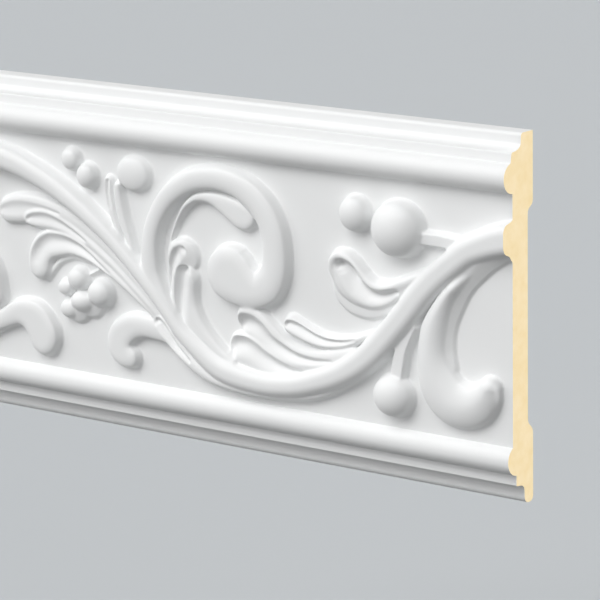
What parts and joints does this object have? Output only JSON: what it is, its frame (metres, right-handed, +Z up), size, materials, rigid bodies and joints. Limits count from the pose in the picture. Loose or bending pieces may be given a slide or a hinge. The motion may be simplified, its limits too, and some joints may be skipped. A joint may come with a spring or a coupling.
{
  "type": "decorative wall trim",
  "caption": "Straight length of frieze moulding with two beads and a vine, scroll and leaf relief on its sunk panel.",
  "frame": {"origin": "on the wall plane, halfway along the trim, at mid height of the lower back land, 20 mm above the lower edge", "axes": "+X along the trim, to the right for a viewer who faces its front; +Y into the wall; +Z up"},
  "size_m": [0.4, 0.0329, 0.2],
  "materials": {
    "trim": "white primer on cast rigid polyurethane foam, matt to satin"
  },
  "bodies": {
    "root": {"wall_trim": "trim"}
  },
  "joints": []
}
